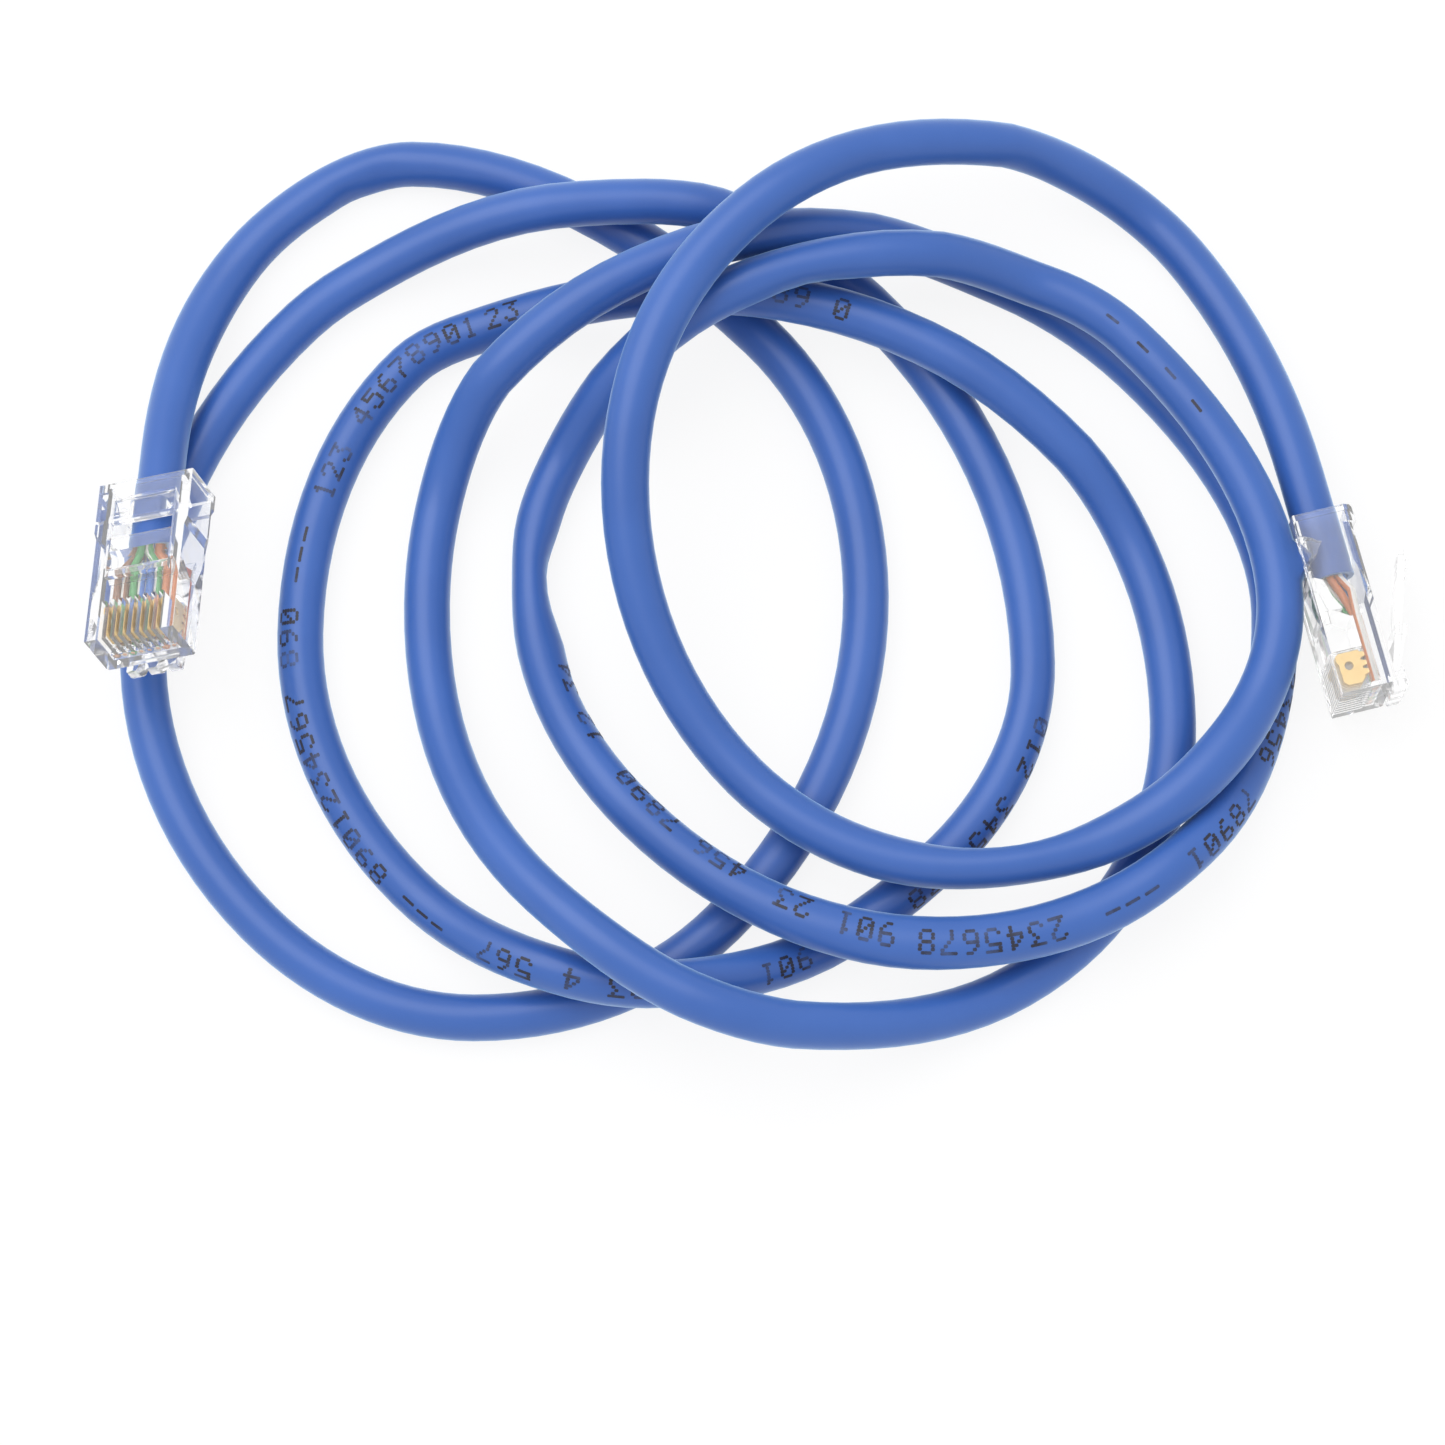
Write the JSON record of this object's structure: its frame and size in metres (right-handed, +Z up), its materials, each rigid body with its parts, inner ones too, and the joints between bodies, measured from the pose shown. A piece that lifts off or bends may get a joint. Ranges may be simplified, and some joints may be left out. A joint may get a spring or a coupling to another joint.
{
  "type": "ethernet patch cable",
  "caption": "Round network patch cable laid in loose overlapping loops, with a clear modular plug, sprung latch and gilt blade contacts on each end.",
  "frame": {"origin": "centre of the bottom of the bounding box, on the surface that the cable lies on", "axes": "+Z up, +X from plug A's side to plug B's side, +Y away from the plugs' noses"},
  "size_m": [0.1494, 0.1102, 0.0226],
  "materials": {
    "jacket_blue": "satin",
    "clear_plastic": "clear, polished",
    "gold_contact": "gold plated",
    "copper": "bare copper",
    "wire_white_orange": "smooth",
    "wire_orange": "smooth",
    "wire_white_green": "smooth",
    "wire_blue": "smooth",
    "wire_white_blue": "smooth",
    "wire_green": "smooth",
    "wire_white_brown": "smooth",
    "wire_brown": "smooth"
  },
  "bodies": {
    "cable_and_plugs": {"cable_jacket": "jacket_blue", "plug_a_housing": "clear_plastic", "plug_a_jacket_wedge": "clear_plastic", "plug_a_wire_wedge": "clear_plastic", "plug_a_contact_1": "gold_contact", "plug_a_contact_2": "gold_contact", "plug_a_contact_3": "gold_contact", "plug_a_contact_4": "gold_contact", "plug_a_contact_5": "gold_contact", "plug_a_contact_6": "gold_contact", "plug_a_contact_7": "gold_contact", "plug_a_contact_8": "gold_contact", "plug_a_wire_1": "wire_white_orange", "plug_a_wire_2": "wire_orange", "plug_a_wire_3": "wire_white_green", "plug_a_wire_4": "wire_blue", "plug_a_wire_5": "wire_white_blue", "plug_a_wire_6": "wire_green", "plug_a_wire_7": "wire_white_brown", "plug_a_wire_8": "wire_brown", "plug_a_cores": "copper", "plug_b_housing": "clear_plastic", "plug_b_jacket_wedge": "clear_plastic", "plug_b_wire_wedge": "clear_plastic", "plug_b_contact_1": "gold_contact", "plug_b_contact_2": "gold_contact", "plug_b_contact_3": "gold_contact", "plug_b_contact_4": "gold_contact", "plug_b_contact_5": "gold_contact", "plug_b_contact_6": "gold_contact", "plug_b_contact_7": "gold_contact", "plug_b_contact_8": "gold_contact", "plug_b_wire_1": "wire_white_orange", "plug_b_wire_2": "wire_orange", "plug_b_wire_3": "wire_white_green", "plug_b_wire_4": "wire_blue", "plug_b_wire_5": "wire_white_blue", "plug_b_wire_6": "wire_green", "plug_b_wire_7": "wire_white_brown", "plug_b_wire_8": "wire_brown", "plug_b_cores": "copper"},
    "plug_a_latch": {"plug_a_latch": "clear_plastic"},
    "plug_b_latch": {"plug_b_latch": "clear_plastic"}
  },
  "joints": [
    {"name": "plug_a_latch_press", "type": "hinge", "parent": "cable_and_plugs", "child": "plug_a_latch", "pos_m": [-0.06652, -0.01038, 0.01312], "axis": [0.9369, 0.0781, 0.3408], "range_deg": [0, 14], "stiffness_Nm_per_rad": 0.02},
    {"name": "plug_b_latch_press", "type": "hinge", "parent": "cable_and_plugs", "child": "plug_b_latch", "pos_m": [0.07338, -0.0109, 0.00584], "axis": [0, 0, 1], "range_deg": [0, 18], "stiffness_Nm_per_rad": 0.02}
  ]
}
